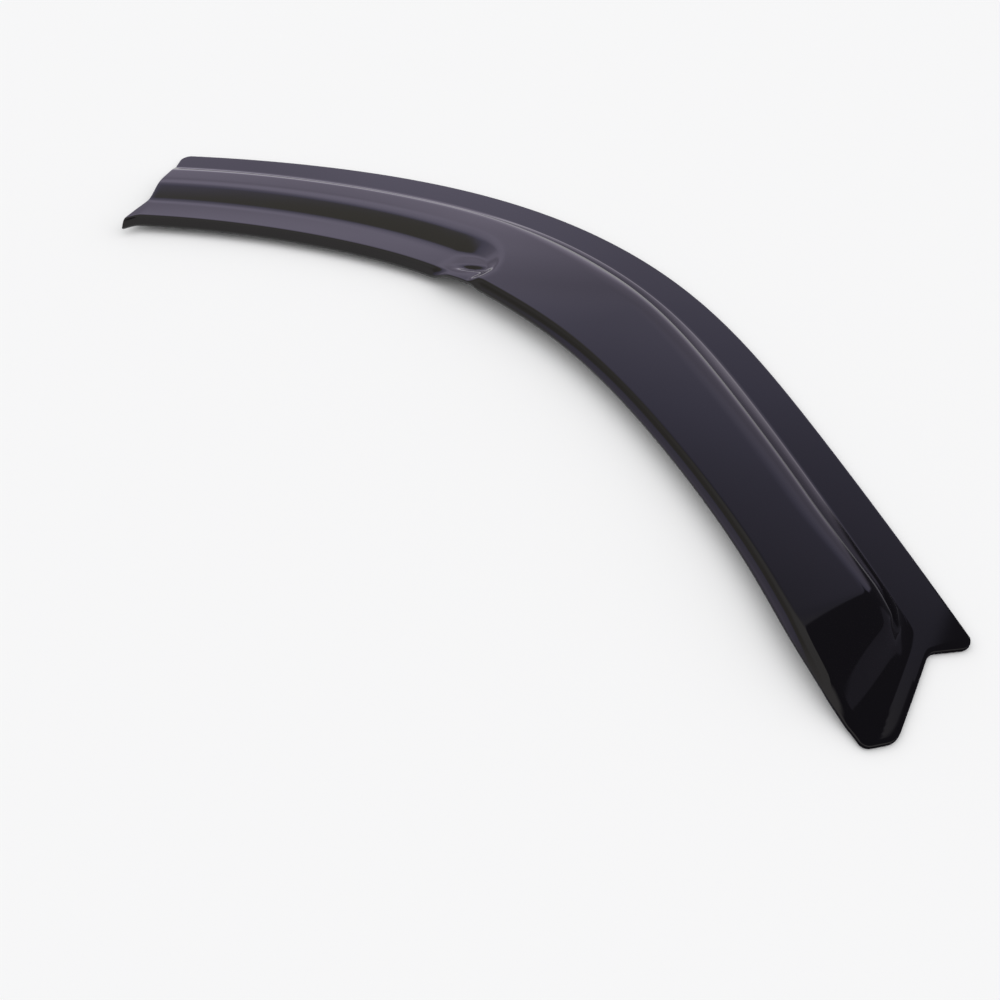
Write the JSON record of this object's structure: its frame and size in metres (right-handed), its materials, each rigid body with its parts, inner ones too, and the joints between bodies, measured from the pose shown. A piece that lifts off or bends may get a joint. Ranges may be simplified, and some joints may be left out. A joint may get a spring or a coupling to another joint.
{
  "type": "window rain deflector",
  "caption": "Front-door side window deflector: one dark tinted acrylic sheet with a flat bonding flange, a raised hood, a stepped air channel, a closed slanting front wall and a notched end.",
  "frame": {"origin": "back of the bonding flange, 13.5 mm in from its outer edge, 100 mm along the outer edge from the cut rear end", "axes": "+Z out of the door face, away from the glass; +X toward the front of the car along the roof line; +Y up the door, toward the outer edge"},
  "size_m": [0.5966, 0.4936, 0.0178],
  "materials": {
    "tinted_acrylic": "high gloss, smoke tint so dark that it looks black"
  },
  "bodies": {
    "root": {"deflector": "tinted_acrylic"}
  },
  "joints": []
}
